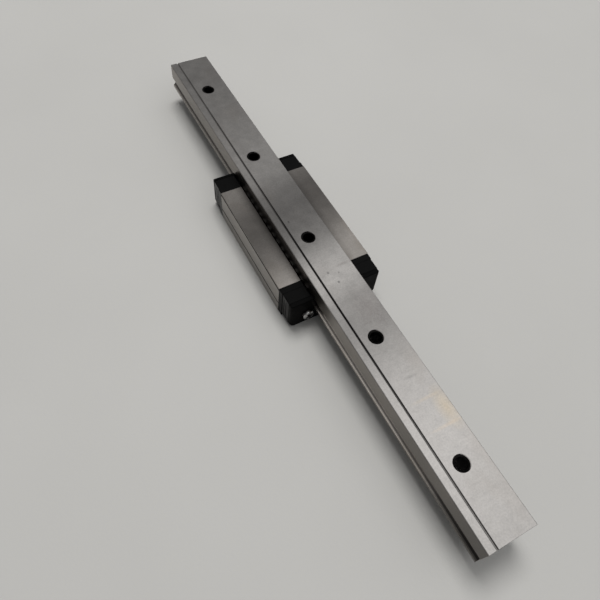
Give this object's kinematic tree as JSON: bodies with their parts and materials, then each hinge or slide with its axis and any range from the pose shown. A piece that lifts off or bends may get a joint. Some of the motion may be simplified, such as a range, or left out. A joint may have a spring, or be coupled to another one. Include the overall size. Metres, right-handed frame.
{
  "type": "linear guide carriage on its rail",
  "caption": "Miniature profile-rail guide: a recirculating-ball carriage with black end caps that slides along a flat steel rail with counterbored screw holes.",
  "frame": {"origin": "under the middle of the rail, at the height of the carriage's mounting face", "axes": "+X along the rail towards the end the carriage is further from, +Z from the carriage's mounting face to the rail's underside, +Y completes a right-handed set"},
  "size_m": [0.2, 0.032, 0.016],
  "materials": {
    "rail_steel": "ground",
    "block_steel": "ground",
    "black_plastic": "moulded",
    "white_plastic": "moulded",
    "seal_rubber": "moulded",
    "bearing_steel": "polished",
    "screw_steel": "plated",
    "wire_steel": "drawn"
  },
  "bodies": {
    "rail": {"rail": "rail_steel"},
    "carriage": {"carriage_block": "block_steel", "end_cap_front": "black_plastic", "end_cap_rear": "black_plastic", "end_seal_front": "seal_rubber", "end_seal_rear": "seal_rubber", "grease_plug_front": "screw_steel", "grease_plug_rear": "screw_steel", "retaining_wire_left": "wire_steel", "retaining_wire_right": "wire_steel", "returning_balls_left": "bearing_steel", "returning_balls_right": "bearing_steel", "return_guide_front_left": "white_plastic", "cap_screw_front_left": "screw_steel", "return_guide_front_right": "white_plastic", "cap_screw_front_right": "screw_steel", "return_guide_rear_left": "white_plastic", "cap_screw_rear_left": "screw_steel", "return_guide_rear_right": "white_plastic", "cap_screw_rear_right": "screw_steel", "ball_left_01": "bearing_steel", "ball_left_02": "bearing_steel", "ball_left_03": "bearing_steel", "ball_left_04": "bearing_steel", "ball_left_05": "bearing_steel", "ball_left_06": "bearing_steel", "ball_left_07": "bearing_steel", "ball_left_08": "bearing_steel", "ball_left_09": "bearing_steel", "ball_left_10": "bearing_steel", "ball_left_11": "bearing_steel", "ball_left_12": "bearing_steel", "ball_left_13": "bearing_steel", "ball_right_01": "bearing_steel", "ball_right_02": "bearing_steel", "ball_right_03": "bearing_steel", "ball_right_04": "bearing_steel", "ball_right_05": "bearing_steel", "ball_right_06": "bearing_steel", "ball_right_07": "bearing_steel", "ball_right_08": "bearing_steel", "ball_right_09": "bearing_steel", "ball_right_10": "bearing_steel", "ball_right_11": "bearing_steel", "ball_right_12": "bearing_steel", "ball_right_13": "bearing_steel"}
  },
  "joints": [
    {"name": "carriage_travel", "type": "slide", "parent": "rail", "child": "carriage", "axis": [1, 0, 0], "range_m": [-0.06, 0.081]}
  ]
}
